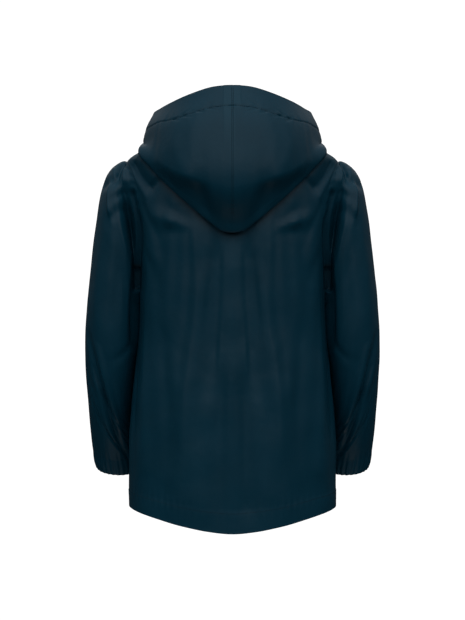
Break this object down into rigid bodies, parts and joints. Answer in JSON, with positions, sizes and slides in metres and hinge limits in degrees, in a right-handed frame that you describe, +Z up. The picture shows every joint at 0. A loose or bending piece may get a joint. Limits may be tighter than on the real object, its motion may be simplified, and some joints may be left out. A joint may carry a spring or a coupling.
{
  "type": "kids raincoat",
  "caption": "Hooded child's raincoat in coated cloth, worn form with no wearer, hood down, press-stud front, elastic cuffs and a dropped back hem.",
  "frame": {"origin": "middle of the wearer's shoulders, level with the neck seam at the side, half way between chest and back", "axes": "+Z up, front faces -Y, +X to the wearer's left"},
  "size_m": [0.4432, 0.2547, 0.6506],
  "materials": {
    "coated_cloth": "gloss",
    "stud": "gloss"
  },
  "bodies": {
    "root": {"back_panel": "coated_cloth", "front_left": "coated_cloth", "front_right": "coated_cloth", "sleeve_left": "coated_cloth", "sleeve_right": "coated_cloth", "cuff_left": "coated_cloth", "cuff_right": "coated_cloth", "hood_left": "coated_cloth", "hood_right": "coated_cloth", "placket": "coated_cloth", "stud_1": "stud", "stud_2": "stud", "stud_3": "stud", "stud_4": "stud", "stud_5": "stud", "stud_6": "stud"}
  },
  "joints": []
}
